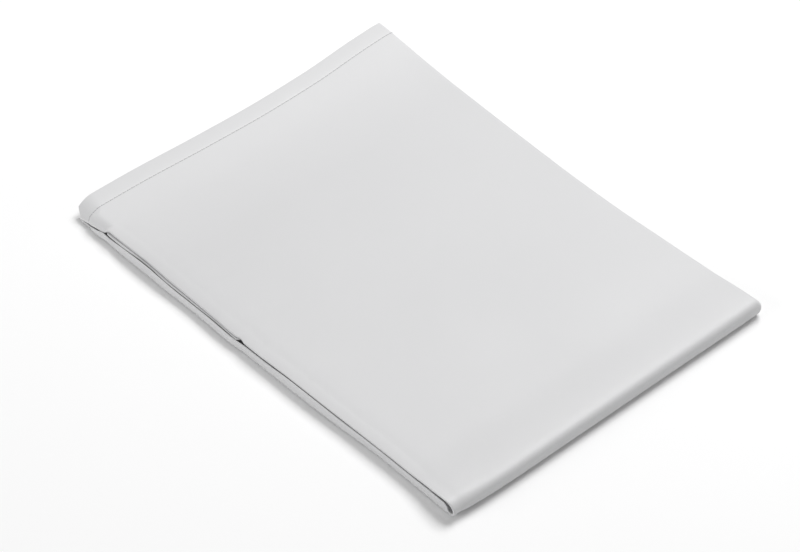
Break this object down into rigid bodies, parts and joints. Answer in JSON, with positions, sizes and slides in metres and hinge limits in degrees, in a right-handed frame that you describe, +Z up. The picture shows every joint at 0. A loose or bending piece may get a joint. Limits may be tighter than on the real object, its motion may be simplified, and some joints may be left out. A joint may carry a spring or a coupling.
{
  "type": "pillowcase",
  "caption": "Plain light grey satin pillowcase, folded in quarters and lying flat, with its hemmed open end on top.",
  "frame": {"origin": "centre of the folded case's bounding box, on the surface it lies on", "axes": "+Z up; +Y towards the hemmed open end, -Y towards the crosswise fold; +X towards the lengthwise fold, -X towards the side where the rims of the plies show"},
  "size_m": [0.2539, 0.349, 0.0126],
  "materials": {
    "satin": "smooth satin weave with a soft sheen"
  },
  "bodies": {
    "root": {"pillowcase": "satin"}
  },
  "joints": []
}
